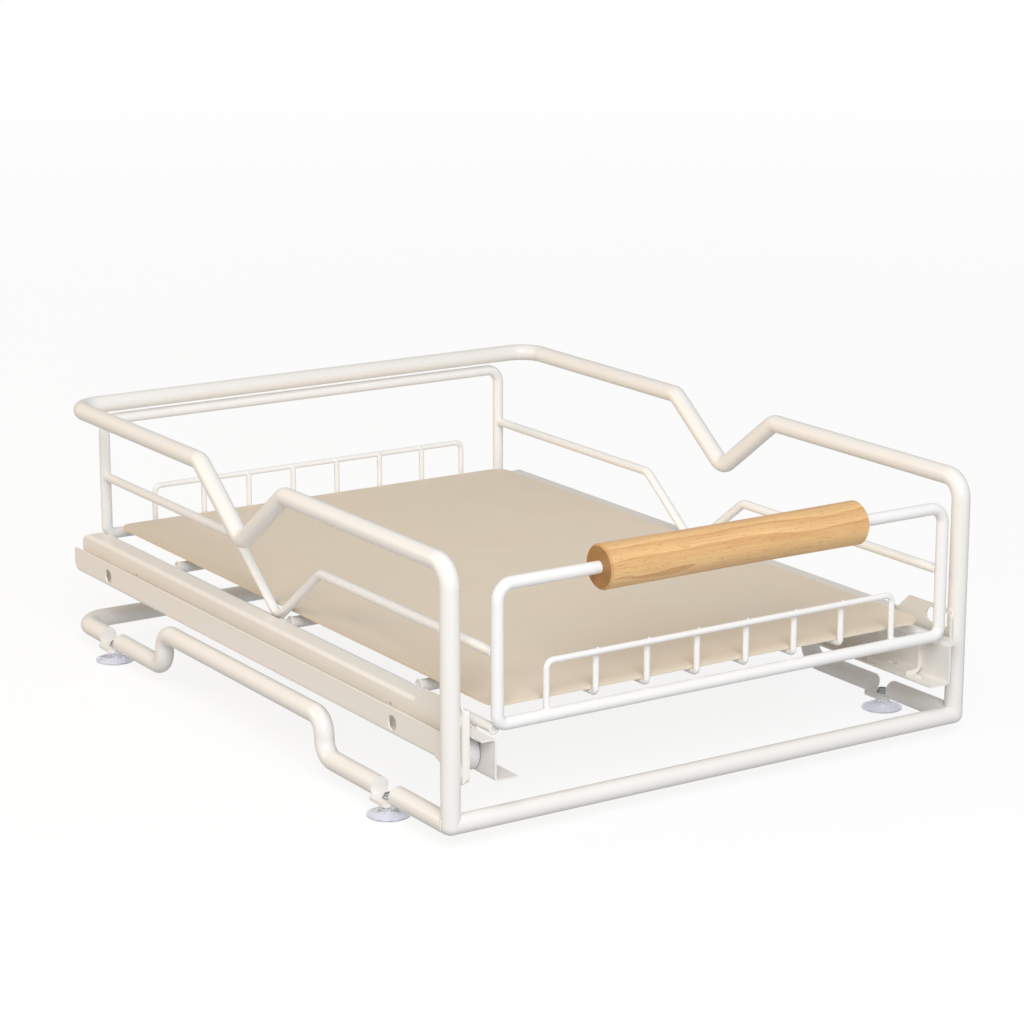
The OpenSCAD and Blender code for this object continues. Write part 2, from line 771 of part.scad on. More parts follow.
bracket(right, rear_bracket_y);  // rear_right_bracket
frame_loop(front_frame_y);  // front_frame
frame_loop(rear_frame_y);  // rear_frame
v_rod(left);  // left_v_rod
v_rod(right);  // right_v_rod
side_rod(left);  // left_side_rod
side_rod(right);  // right_side_rod
cross_rod(-1);  // front_cross_rod
cross_rod(0);  // middle_cross_rod
cross_rod(1);  // rear_cross_rod
floor_wire(1);  // floor_wire_1
floor_wire(2);  // floor_wire_2
floor_wire(3);  // floor_wire_3
floor_wire(4);  // floor_wire_4
floor_wire(5);  // floor_wire_5
floor_wire(6);  // floor_wire_6
fence(front_frame_y, front_frame_y + fence_inset);  // front_fence
fence(rear_frame_y, rear_frame_y - fence_inset);  // rear_fence
floor_panel();
grip();
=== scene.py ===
"""Looks of a pull out cabinet basket: coats, beech, nylon, vinyl, rivets, weld beads, studio."""
import json
import logging
import math
from dataclasses import dataclass, replace
from enum import Enum

import bpy
from mathutils import Matrix, Vector


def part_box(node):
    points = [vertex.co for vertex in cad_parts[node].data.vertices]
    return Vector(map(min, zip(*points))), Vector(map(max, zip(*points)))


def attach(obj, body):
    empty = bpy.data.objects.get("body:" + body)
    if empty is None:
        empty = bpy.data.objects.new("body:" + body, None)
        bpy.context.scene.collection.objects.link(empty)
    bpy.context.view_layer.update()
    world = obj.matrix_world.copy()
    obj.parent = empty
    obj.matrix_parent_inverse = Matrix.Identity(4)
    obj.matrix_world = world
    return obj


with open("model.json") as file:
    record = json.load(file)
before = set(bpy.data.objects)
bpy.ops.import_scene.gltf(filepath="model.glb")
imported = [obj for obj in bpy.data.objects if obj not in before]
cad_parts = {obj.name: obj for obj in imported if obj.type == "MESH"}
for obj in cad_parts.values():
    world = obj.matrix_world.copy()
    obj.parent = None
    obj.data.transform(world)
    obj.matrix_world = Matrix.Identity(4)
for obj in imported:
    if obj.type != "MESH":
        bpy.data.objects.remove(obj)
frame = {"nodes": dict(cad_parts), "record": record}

LOG = logging.getLogger("cabinet_basket")
MM = 0.001

Colour = tuple[float, float, float]
Span = tuple[float, float, float]

UNIT = (0.0, 1.0)
NOISE_RANGE = (0.3, 0.7)
ORIGIN: Span = (0.0, 0.0, 0.0)
SAME_SCALE: Span = (1.0, 1.0, 1.0)
WHITE = (1.0, 1.0, 1.0, 1.0)
FLOOR_WIRES = tuple(f"floor_wire_{index}" for index in range(1, 7))


class Side(Enum):
    """The two sides of the object, seen from the front."""

    LEFT = "left"
    RIGHT = "right"

    @property
    def sign(self) -> int:
        """Returns -1 on the left and 1 on the right."""
        return -1 if self is Side.LEFT else 1


class End(Enum):
    """The two ends of the object."""

    FRONT = "front"
    REAR = "rear"

    @property
    def inward(self) -> int:
        """Returns the way along Y from this end into the object."""
        return 1 if self is End.FRONT else -1


def deselect() -> None:
    """Leaves nothing selected, because operators act on all that is."""
    if bpy.context.mode != "OBJECT":
        bpy.ops.object.mode_set(mode="OBJECT")
    bpy.ops.object.select_all(action="DESELECT")


def middle(node: str) -> Vector:
    """Finds the centre of a CAD node.

    Args:
        node: Name of the node.

    Returns:
        The centre of its box, in metres.
    """
    low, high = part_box(node)
    return (Vector(low) + Vector(high)) / 2


def half_size(node: str) -> Vector:
    """Finds half the size of a CAD node's box.

    Args:
        node: Name of the node.

    Returns:
        Half its width, depth and height, in metres.
    """
    low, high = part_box(node)
    return (Vector(high) - Vector(low)) / 2


@dataclass
class Bench:
    """Lays out the nodes of one material or node group."""

    tree: bpy.types.NodeTree
    column: int = 0

    def add(self, kind: str, **settings: object) -> bpy.types.Node:
        """Adds a node.

        Args:
            kind: Blender's name of the node type.
            settings: Properties, or inputs by their names with spaces as underscores.

        Returns:
            The new node.
        """
        node = self.tree.nodes.new(kind)
        node.location = (self.column * 190, 0)
        self.column += 1
        for name, value in settings.items():
            if hasattr(node, name):
                setattr(node, name, value)
            else:
                node.inputs[name.replace("_", " ")].default_value = value
        return node

    def link(self, source: bpy.types.NodeSocket, target: bpy.types.NodeSocket) -> None:
        """Joins an output to an input.

        Args:
            source: The output.
            target: The input.
        """
        self.tree.links.new(source, target)

    def noise(self, vector: bpy.types.NodeSocket, scale: float, detail: float = 2.0,
              roughness: float = 0.5) -> bpy.types.NodeSocket:
        """Adds a noise texture.

        Args:
            vector: Place it is read at.
            scale: Features per metre.
            detail: Octaves.
            roughness: Strength of the finer octaves.

        Returns:
            Its value.
        """
        node = self.add("ShaderNodeTexNoise", Scale=scale, Detail=detail, Roughness=roughness)
        self.link(vector, node.inputs["Vector"])
        return node.outputs["Fac"]

    def math(self, operation: str, first: bpy.types.NodeSocket,
             second: bpy.types.NodeSocket | float, clamp: bool = False) -> bpy.types.NodeSocket:
        """Adds a sum.

        Args:
            operation: Blender's name of the operation.
            first: First value.
            second: Second value, a socket or a number.
            clamp: Whether the result is kept from 0 to 1.

        Returns:
            The result.
        """
        node = self.add("ShaderNodeMath", operation=operation, use_clamp=clamp)
        self.link(first, node.inputs[0])
        if isinstance(second, bpy.types.NodeSocket):
            self.link(second, node.inputs[1])
        else:
            node.inputs[1].default_value = second
        return node.outputs[0]

    def spread(self, value: bpy.types.NodeSocket, source: tuple[float, float],
               target: tuple[float, float]) -> bpy.types.NodeSocket:
        """Maps one range of values to another and clamps it.

        Args:
            value: Value to map.
            source: Its lowest and highest value.
            target: What they become.

        Returns:
            The mapped value.
        """
        node = self.add("ShaderNodeMapRange")
        self.link(value, node.inputs["Value"])
        node.inputs["From Min"].default_value, node.inputs["From Max"].default_value = source
        node.inputs["To Min"].default_value, node.inputs["To Max"].default_value = target
        return node.outputs["Result"]

    def blend(self, factor: bpy.types.NodeSocket, first: Colour | bpy.types.NodeSocket,
              second: Colour) -> bpy.types.NodeSocket:
        """Mixes two colours.

        Args:
            factor: Share of the second colour.
            first: First colour, or a socket that gives one.
            second: Second colour.

        Returns:
            The mixed colour.
        """
        node = self.add("ShaderNodeMix", data_type="RGBA")
        self.link(factor, node.inputs["Factor"])
        if isinstance(first, bpy.types.NodeSocket):
            self.link(first, node.inputs[6])
        else:
            node.inputs[6].default_value = (*first, 1.0)
        node.inputs[7].default_value = (*second, 1.0)
        return node.outputs[2]

    def stretch(self, vector: bpy.types.NodeSocket, scale: Span,
                place: Span = ORIGIN) -> bpy.types.NodeSocket:
        """Moves and stretches a pattern.

        Args:
            vector: Place it is read at.
            scale: How much the pattern shrinks along each axis.
            place: Shift of the pattern before that.

        Returns:
            The new place.
        """
        node = self.add("ShaderNodeMapping", Location=place, Scale=scale)
        self.link(vector, node.inputs["Vector"])
        return node.outputs["Vector"]


class Pattern:
    """A node group that several finishes share."""

    def __init__(self, name: str, inputs: dict[str, float], outputs: tuple[str, ...]) -> None:
        """Makes the group and its sockets.

        Args:
            name: Name of the group.
            inputs: Names and defaults of its values; a vector called Place comes first.
            outputs: Names of the values that it gives.
        """
        self.group = bpy.data.node_groups.new(name, "ShaderNodeTree")
        face = self.group.interface
        face.new_socket(name="Place", in_out="INPUT", socket_type="NodeSocketVector")
        for label, default in inputs.items():
            socket = face.new_socket(name=label, in_out="INPUT", socket_type="NodeSocketFloat")
            socket.default_value = default
        for label in outputs:
            face.new_socket(name=label, in_out="OUTPUT", socket_type="NodeSocketFloat")
        self.bench = Bench(self.group)
        self.given = self.bench.add("NodeGroupInput").outputs
        self.result = self.group.nodes.new("NodeGroupOutput").inputs

    def use(self, bench: Bench, place: bpy.types.NodeSocket, **values: float) -> bpy.types.Node:
        """Places the group in a material.

        Args:
            bench: Bench of the material.
            place: Coordinates that it reads.
            values: Its values in this material.

        Returns:
            The group's node.
        """
        node = bench.add("ShaderNodeGroup", node_tree=self.group)
        bench.link(place, node.inputs["Place"])
        for label, value in values.items():
            node.inputs[label].default_value = value
        return node


class CoatSkin(Pattern):
    """The orange peel, fine grit, slow drift and specks of a baked powder coat."""

    def __init__(self) -> None:
        """Lays out peel, grit, drift and specks."""
        super().__init__("coat_skin", {"Peel": 620.0, "Grit": 0.25}, ("Height", "Drift", "Speck"))
        b = self.bench
        rare = (0.69, 0.78)
        peel = b.add("ShaderNodeTexNoise", Detail=2.0, Roughness=0.45)
        b.link(self.given["Place"], peel.inputs["Vector"])
        b.link(self.given["Peel"], peel.inputs["Scale"])
        grit = b.noise(self.given["Place"], scale=3400.0, detail=1.0)
        gritty = b.math("MULTIPLY", grit, self.given["Grit"])
        b.link(b.math("ADD", peel.outputs["Fac"], gritty), self.result["Height"])
        drift = b.noise(self.given["Place"], scale=17.0, detail=3.0)
        b.link(b.spread(drift, NOISE_RANGE, UNIT), self.result["Drift"])
        speck = b.noise(self.given["Place"], scale=1500.0, detail=1.0)
        b.link(b.spread(speck, rare, UNIT), self.result["Speck"])


class BeechGrain(Pattern):
    """Growth rings along X, fibres, and the short dark flecks of beech."""

    def __init__(self) -> None:
        """Lays out rings, fibres, flecks and pores."""
        super().__init__("beech_grain", {"Rings": 36.0, "Wander": 5.5},
                         ("Ring", "Fibre", "Fleck", "Height"))
        b = self.bench
        ring_scale, ring_place = (0.22, 1.0, 1.0), (0.0, 0.034, 0.021)
        fibre_scale, fleck_scale = (26.0, 720.0, 720.0), (210.0, 1500.0, 1500.0)
        fibre_range, fleck_range = (0.32, 0.7), (0.63, 0.72)
        pore_height = -0.6
        ring = b.add("ShaderNodeTexWave", wave_type="RINGS", rings_direction="X",
                     wave_profile="SAW", Detail=2.0, Detail_Scale=1.4)
        b.link(b.stretch(self.given["Place"], ring_scale, ring_place), ring.inputs["Vector"])
        b.link(self.given["Rings"], ring.inputs["Scale"])
        b.link(self.given["Wander"], ring.inputs["Distortion"])
        b.link(ring.outputs["Fac"], self.result["Ring"])
        fibre = b.noise(b.stretch(self.given["Place"], fibre_scale), scale=1.0, detail=4.0,
                        roughness=0.6)
        b.link(b.spread(fibre, fibre_range, UNIT), self.result["Fibre"])
        fleck = b.noise(b.stretch(self.given["Place"], fleck_scale), scale=1.0, detail=1.0)
        b.link(b.spread(fleck, fleck_range, UNIT), self.result["Fleck"])
        pores = b.math("MULTIPLY", fleck, pore_height)
        b.link(b.math("ADD", fibre, pores), self.result["Height"])


class TurnedRings(Pattern):
    """Fine rings about an axis along X, as turning and moulding leave them."""

    def __init__(self) -> None:
        """Lays out the rings and a little scatter."""
        super().__init__("turned_rings", {"Rings": 900.0}, ("Height", "Scatter"))
        b = self.bench
        ring = b.add("ShaderNodeTexWave", wave_type="RINGS", rings_direction="X",
                     Distortion=0.4, Detail=1.0)
        b.link(self.given["Place"], ring.inputs["Vector"])
        b.link(self.given["Rings"], ring.inputs["Scale"])
        b.link(ring.outputs["Fac"], self.result["Height"])
        scatter = b.noise(self.given["Place"], scale=420.0, detail=3.0)
        b.link(scatter, self.result["Scatter"])


@dataclass(frozen=True)
class Finish:
    """What every finish has: a name and a shader with a bumped normal."""

    name: str
    colour: Colour
    roughness: float

    def start(self) -> tuple[bpy.types.Material, Bench, bpy.types.Node]:
        """Makes the material.

        Returns:
            The material, its bench and its Principled shader.
        """
        material = bpy.data.materials.new(self.name)
        material.use_nodes = True
        shader = material.node_tree.nodes["Principled BSDF"]
        shader.inputs["Base Color"].default_value = (*self.colour, 1.0)
        shader.inputs["Roughness"].default_value = self.roughness
        return material, Bench(material.node_tree), shader

    def place(self, bench: Bench) -> bpy.types.NodeSocket:
        """Adds the object coordinates.

        Args:
            bench: Bench of the material.

        Returns:
            The coordinates.
        """
        return bench.add("ShaderNodeTexCoord").outputs["Object"]

    def centred(self, bench: Bench, centre: Span) -> bpy.types.NodeSocket:
        """Adds the object coordinates about a centre.

        Args:
            bench: Bench of the material.
            centre: What becomes the origin of the pattern.

        Returns:
            The coordinates.
        """
        return bench.stretch(self.place(bench), SAME_SCALE, tuple(-value for value in centre))

    def bump(self, bench: Bench, shader: bpy.types.Node, height: bpy.types.NodeSocket,
             depth: float, strength: float = 1.0) -> None:
        """Feeds a height to the shader's normal.

        Args:
            bench: Bench of the material.
            shader: The Principled shader.
            height: Height from 0 to 1.
            depth: What a height of 1 stands for, in metres.
            strength: Strength of the effect.
        """
        node = bench.add("ShaderNodeBump", Strength=strength, Distance=depth)
        bench.link(height, node.inputs["Height"])
        bench.link(node.outputs["Normal"], shader.inputs["Normal"])


@dataclass(frozen=True)
class PowderCoat(Finish):
    """Baked powder coat over steel."""

    shade: Colour = (0.89, 0.845, 0.78)
    speck: Colour = (0.8, 0.75, 0.68)
    peel: float = 620.0
    peel_depth: float = 0.00007
    peel_strength: float = 0.55
    drift_share: float = 0.35
    speck_share: float = 0.3
    smoother: float = 0.05
    rougher: float = 0.06
    gloss: float = 0.25
    gloss_roughness: float = 0.14

    def make(self, skin: CoatSkin) -> bpy.types.Material:
        """Builds the material.

        Args:
            skin: The shared coat pattern.

        Returns:
            The finished material.
        """
        material, b, shader = self.start()
        surface = skin.use(b, self.place(b), Peel=self.peel)
        drift = b.math("MULTIPLY", surface.outputs["Drift"], self.drift_share)
        toned = b.blend(drift, self.colour, self.shade)
        speck = b.math("MULTIPLY", surface.outputs["Speck"], self.speck_share)
        b.link(b.blend(speck, toned, self.speck), shader.inputs["Base Color"])
        rough = (self.roughness - self.smoother, self.roughness + self.rougher)
        b.link(b.spread(surface.outputs["Drift"], UNIT, rough), shader.inputs["Roughness"])
        self.bump(b, shader, surface.outputs["Height"], self.peel_depth, self.peel_strength)
        shader.inputs["Coat Weight"].default_value = self.gloss
        shader.inputs["Coat Roughness"].default_value = self.gloss_roughness
        return material


@dataclass(frozen=True)
class Beech(Finish):
    """Oiled beech, turned along X."""

    dark: Colour = (0.6, 0.28, 0.1)
    fleck: Colour = (0.36, 0.16, 0.055)
    end_grain: Colour = (0.36, 0.165, 0.035)
    ring_share: float = 0.5
    fibre_share: float = 0.34
    fleck_share: float = 0.45
    end_turn: tuple[float, float] = (0.55, 0.95)
    end_share: float = 0.9
    rougher: float = 0.14
    grain_depth: float = 0.00016
    grain_strength: float = 0.6
    centre: Span = ORIGIN

    def make(self, grain: BeechGrain) -> bpy.types.Material:
        """Builds the material.

        Args:
            grain: The beech pattern.

        Returns:
            The finished material.
        """
        material, b, shader = self.start()
        surface = grain.use(b, self.centred(b, self.centre))
        ring = b.math("MULTIPLY", surface.outputs["Ring"], self.ring_share)
        fibre = b.math("MULTIPLY", surface.outputs["Fibre"], self.fibre_share)
        tone = b.math("ADD", ring, fibre, clamp=True)
        wood = b.blend(tone, self.colour, self.dark)
        facing = b.add("ShaderNodeSeparateXYZ")
        b.link(b.add("ShaderNodeTexCoord").outputs["Normal"], facing.inputs[0])
        along = b.math("ABSOLUTE", facing.outputs["X"], 0.0)
        wood = b.blend(b.spread(along, self.end_turn, (0.0, self.end_share)), wood, self.end_grain)
        fleck = b.math("MULTIPLY", surface.outputs["Fleck"], self.fleck_share)
        b.link(b.blend(fleck, wood, self.fleck), shader.inputs["Base Color"])
        rough = (self.roughness, self.roughness + self.rougher)
        b.link(b.spread(surface.outputs["Fibre"], UNIT, rough), shader.inputs["Roughness"])
        self.bump(b, shader, surface.outputs["Height"], self.grain_depth, self.grain_strength)
        return material


@dataclass(frozen=True)
class Nylon(Finish):
    """Moulded nylon with the rings of its tool."""

    shade: Colour = (0.6, 0.58, 0.55)
    shade_share: float = 0.3
    rings: float = 420.0
    ring_depth: float = 0.00006
    ring_strength: float = 0.5
    scatter: float = 0.12
    scatter_depth: float = 0.002
    centre: Span = ORIGIN

    def make(self, rings: TurnedRings) -> bpy.types.Material:
        """Builds the material.

        Args:
            rings: The shared ring pattern.

        Returns:
            The finished material.
        """
        material, b, shader = self.start()
        surface = rings.use(b, self.centred(b, self.centre), Rings=self.rings)
        tint = b.spread(surface.outputs["Scatter"], NOISE_RANGE, (0.0, self.shade_share))
        b.link(b.blend(tint, self.colour, self.shade), shader.inputs["Base Color"])
        self.bump(b, shader, surface.outputs["Height"], self.ring_depth, self.ring_strength)
        shader.inputs["Subsurface Weight"].default_value = self.scatter
        shader.inputs["Subsurface Scale"].default_value = self.scatter_depth
        return material


@dataclass(frozen=True)
class Zinc(Finish):
    """Zinc plated steel with turning marks."""

    shade: Colour = (0.38, 0.37, 0.34)
    shade_share: float = 0.6
    dull: float = 0.5
    ring_depth: float = 0.00003
    ring_strength: float = 0.5
    centre: Span = ORIGIN

    def make(self, rings: TurnedRings) -> bpy.types.Material:
        """Builds the material.

        Args:
            rings: The shared ring pattern.

        Returns:
            The finished material.
        """
        material, b, shader = self.start()
        surface = rings.use(b, self.centred(b, self.centre))
        tint = b.spread(surface.outputs["Scatter"], NOISE_RANGE, (0.0, self.shade_share))
        b.link(b.blend(tint, self.colour, self.shade), shader.inputs["Base Color"])
        b.link(b.spread(surface.outputs["Scatter"], NOISE_RANGE, (self.roughness, self.dull)),
               shader.inputs["Roughness"])
        self.bump(b, shader, surface.outputs["Height"], self.ring_depth, self.ring_strength)
        shader.inputs["Metallic"].default_value = 1.0
        return material


@dataclass(frozen=True)
class Vinyl(Finish):
    """Soft see-through vinyl with a cloudy body."""

    shade: Colour = (0.8, 0.82, 0.92)
    dull: float = 0.3
    stretch: Span = (3.0, 3.0, 3.0)
    wave: float = 90.0
    wave_depth: float = 0.0003
    wave_strength: float = 0.4
    clear: float = 0.8
    bend: float = 1.2
    scatter: float = 0.2
    scatter_depth: float = 0.004

    def make(self, skin: CoatSkin) -> bpy.types.Material:
        """Builds the material.

        Args:
            skin: The shared pattern, for its slow drift and soft waves.

        Returns:
            The finished material.
        """
        material, b, shader = self.start()
        surface = skin.use(b, b.stretch(self.place(b), self.stretch), Peel=self.wave, Grit=0.0)
        b.link(b.blend(surface.outputs["Drift"], self.colour, self.shade),
               shader.inputs["Base Color"])
        b.link(b.spread(surface.outputs["Drift"], UNIT, (self.roughness, self.dull)),
               shader.inputs["Roughness"])
        self.bump(b, shader, surface.outputs["Height"], self.wave_depth, self.wave_strength)
        shader.inputs["Transmission Weight"].default_value = self.clear
        shader.inputs["IOR"].default_value = self.bend
        shader.inputs["Subsurface Weight"].default_value = self.scatter
        shader.inputs["Subsurface Scale"].default_value = self.scatter_depth
        return material


@dataclass
class Coats:
    """Puts the right finish on every CAD node."""

    stand: PowderCoat = PowderCoat("stand_coat", (0.93, 0.905, 0.87), 0.32)
    slide: PowderCoat = PowderCoat("slide_coat", (0.92, 0.885, 0.83), 0.34)
    basket: PowderCoat = PowderCoat("basket_coat", (0.95, 0.94, 0.925), 0.28,
                                    shade=(0.92, 0.9, 0.87))
    panel: PowderCoat = PowderCoat("panel_coat", (0.82, 0.72, 0.585), 0.62,
                                   shade=(0.77, 0.665, 0.525), peel=420.0, gloss=0.0)
    cup: Vinyl = Vinyl("cup_vinyl", (0.9, 0.91, 0.96), 0.12)
    grip: Beech = Beech("grip_wood", (0.94, 0.62, 0.29), 0.3)
    roller: Nylon = Nylon("roller_nylon", (0.86, 0.86, 0.86), 0.42)
    rivet: Zinc = Zinc("rivet_zinc", (0.62, 0.62, 0.6), 0.3)

    def dress(self) -> dict[str, bpy.types.Material]:
        """Makes every finish and gives each CAD node its own.

        Returns:
            The materials by the names of the record's slots.
        """
        skin, rings = CoatSkin(), TurnedRings()
        made = {coat.name: coat.make(skin)
                for coat in (self.stand, self.slide, self.basket, self.panel)}
        made[self.cup.name] = self.cup.make(skin)
        grip = replace(self.grip, centre=tuple(middle("grip")))
        made[grip.name] = grip.make(BeechGrain())
        for end in End:
            axis = middle(f"{end.value}_left_roller")
            for kind, finish in (("roller", self.roller), ("axle", self.rivet)):
                turned = replace(finish, name=f"{end.value}_{finish.name}",
                                 centre=(0.0, axis.y, axis.z))
                made[f"{end.value}_{kind}"] = turned.make(rings)
        for row in frame["record"]["subparts"]:
            node, slot = row["node"], row["material_slot"]
            if slot in ("roller_nylon", "rivet_steel"):
                end = "front" if "front" in node else "rear"
                kind = "roller" if slot == "roller_nylon" else "axle"
                slot = f"{end}_{kind}"
            solid = frame["nodes"][node]
            for place in solid.material_slots:
                place.material = made[slot]
            LOG.info("%s wears %s", node, slot)
        return made


@dataclass
class Welds:
    """Beads of weld under the coat, all of one body in one piece."""

    name: str
    body: str
    slot: str
    material: bpy.types.Material
    seed: int = 3
    collar_share: float = 0.2
    blob_rough: float = 0.07
    collar_rough: float = 0.035

    def __post_init__(self) -> None:
        """Models the blob and the collar that are copied."""
        self.beads: list[bpy.types.Object] = []
        deselect()
        bpy.ops.mesh.primitive_uv_sphere_add(segments=16, ring_count=8, radius=1.0)
        self.blob = self.roughen(self.blob_rough, self.seed)
        deselect()
        bpy.ops.mesh.primitive_torus_add(major_segments=28, minor_segments=8, major_radius=1.0,
                                         minor_radius=self.collar_share)
        self.ring = self.roughen(self.collar_rough, self.seed + 1)

    def roughen(self, offset: float, seed: int) -> bpy.types.Object:
        """Moves the vertices of the active object a little at random.

        Args:
            offset: How far they move, against the object's radius of 1.
            seed: Seed of the random draws.

        Returns:
            The object.
        """
        bpy.ops.object.mode_set(mode="EDIT")
        bpy.ops.mesh.select_all(action="SELECT")
        bpy.ops.transform.vertex_random(offset=offset, seed=seed)
        bpy.ops.mesh.normals_make_consistent(inside=False)
        bpy.ops.object.mode_set(mode="OBJECT")
        return bpy.context.object

    def copy(self, source: bpy.types.Object, matrix: Matrix) -> None:
        """Puts a copy of a bead in its place.

        Args:
            source: The blob or the collar.
            matrix: Place, turn and size of the copy.
        """
        bead = source.copy()
        bead.data = source.data.copy()
        bpy.context.scene.collection.objects.link(bead)
        bead.matrix_world = matrix
        self.beads.append(bead)

    def dab(self, place: Span, size: Span) -> None:
        """Adds a dab of weld.

        Args:
            place: Its centre, in metres.
            size: Its half sizes, in metres.
        """
        self.copy(self.blob, Matrix.Translation(place) @ Matrix.Diagonal((*size, 1.0)))

    def collar(self, place: Span, axis: str, radius: float) -> None:
        """Adds a bead round the end of a rod.

        Args:
            place: Centre of the rod's end, in metres.
            axis: Axis of the rod, X or Y.
            radius: Radius of the rod, in metres.
        """
        turn = Matrix.Rotation(math.pi / 2, 4, "Y" if axis == "X" else "X")
        size = Matrix.Diagonal((radius, radius, radius, 1.0))
        self.copy(self.ring, Matrix.Translation(place) @ turn @ size)

    def finish(self) -> bpy.types.Object:
        """Joins the beads, lets them ride on their body and removes the patterns.

        Returns:
            The finished piece.
        """
        deselect()
        for bead in self.beads:
            bead.select_set(True)
        bpy.context.view_layer.objects.active = self.beads[0]
        bpy.ops.object.transform_apply(location=True, rotation=True, scale=True)
        bpy.ops.object.join()
        piece = bpy.context.object
        piece.name = self.name
        bpy.ops.object.shade_smooth()
        piece.data.materials.clear()
        piece.data.materials.append(self.material)
        for source in (self.blob, self.ring):
            bpy.data.objects.remove(source)
        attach(piece, self.body)
        LOG.info("%s has %d beads", self.name, len(self.beads))
        return piece


@dataclass
class BasketWelds:
    """Welds of the wire basket, placed on its rods."""

    material: bpy.types.Material
    wire_r: float = 1.95 * MM
    rod_r: float = 3.0 * MM
    cross_r: float = 3.9 * MM
    v_rod_r: float = 3.1 * MM
    frame_rod_d: float = 7.8 * MM
    bracket_leg: float = 3.0 * MM
    sunk: float = 0.98
    end_inset: float = 0.1 * MM
    end_reach: float = 0.2 * MM
    wire_dab: Span = (2.5 * MM, 2.6 * MM, 0.9 * MM)
    dip_dab: Span = (2.3 * MM, 6.5 * MM, 1.3 * MM)
    picket_dab: Span = (1.5 * MM, 0.7 * MM, 2.0 * MM)
    picket_drop: float = 1.9 * MM
    foot_dab: Span = (2.4 * MM, 1.2 * MM, 1.0 * MM)
    foot_inset: float = 2.2 * MM
    foot_drop: float = 0.6 * MM
    bracket_dab: Span = (1.1 * MM, 5.0 * MM, 1.1 * MM)
    bracket_drop: float = 0.2 * MM
    bracket_shares: tuple[float, float] = (0.22, 0.78)

    def build(self) -> bpy.types.Object:
        """Lays every bead of the basket.

        Returns:
            The finished piece.
        """
        beads = Welds("basket_welds", "basket", "basket_coat", self.material)
        self.cross_rods(beads)
        self.side_rods(beads)
        self.fences(beads)
        self.brackets(beads)
        return beads.finish()

    def cross_rods(self, beads: Welds) -> None:
        """Welds the cross rods to the side rods and under every floor wire.

        Args:
            beads: The basket's beads.
        """
        for name in ("front_cross_rod", "middle_cross_rod", "rear_cross_rod"):
            centre, half = middle(name), half_size(name)
            for side in Side:
                beads.collar((side.sign * (half.x - self.end_inset), centre.y, centre.z), "X",
                             self.cross_r * self.sunk)
            for wire in FLOOR_WIRES:
                x = middle(wire).x
                beads.dab((x, centre.y, centre.z + self.cross_r), self.wire_dab)

    def side_rods(self, beads: Welds) -> None:
        """Welds side rods and V rods to the two frames and to each other.

        Args:
            beads: The basket's beads.
        """
        for side in Side:
            for name, radius in ((f"{side.value}_side_rod", self.rod_r),
                                 (f"{side.value}_v_rod", self.v_rod_r)):
                centre, half = middle(name), half_size(name)
                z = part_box(name)[1][2] - radius
                for end in End:
                    y = centre.y - end.inward * (half.y + self.end_reach)
                    beads.collar((centre.x, y, z), "Y", radius * self.sunk)
            rod = middle(f"{side.value}_side_rod")
            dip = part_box(f"{side.value}_v_rod")[0][2]
            beads.dab((rod.x, middle(f"{side.value}_v_rod").y, dip), self.dip_dab)

    def fences(self, beads: Welds) -> None:
        """Welds pickets to the fences' top wires and the fences' feet to the frames.

        Args:
            beads: The basket's beads.
        """
        for end in End:
            name = f"{end.value}_fence"
            low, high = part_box(name)
            y = middle(name).y + end.inward * self.wire_r
            for wire in FLOOR_WIRES:
                x = middle(wire).x
                beads.dab((x, y, high[2] - self.picket_drop), self.picket_dab)
            rod = middle(f"{end.value}_frame")
            rod_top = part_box(f"{end.value}_frame")[0][2] + self.frame_rod_d
            for x in (low[0] + self.wire_r, high[0] - self.wire_r):
                beads.dab((x, rod.y + end.inward * self.foot_inset, rod_top - self.foot_drop),
                          self.foot_dab)

    def brackets(self, beads: Welds) -> None:
        """Runs two short welds along each bracket's top edge, on its inner side.

        Args:
            beads: The basket's beads.
        """
        for side in Side:
            for end in End:
                name = f"{end.value}_{side.value}_bracket"
                low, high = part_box(name)
                outer = high[0] if side is Side.RIGHT else low[0]
                face_x = outer - side.sign * self.bracket_leg
                for share in self.bracket_shares:
                    y = low[1] + (high[1] - low[1]) * share
                    beads.dab((face_x, y, high[2] - self.bracket_drop), self.bracket_dab)


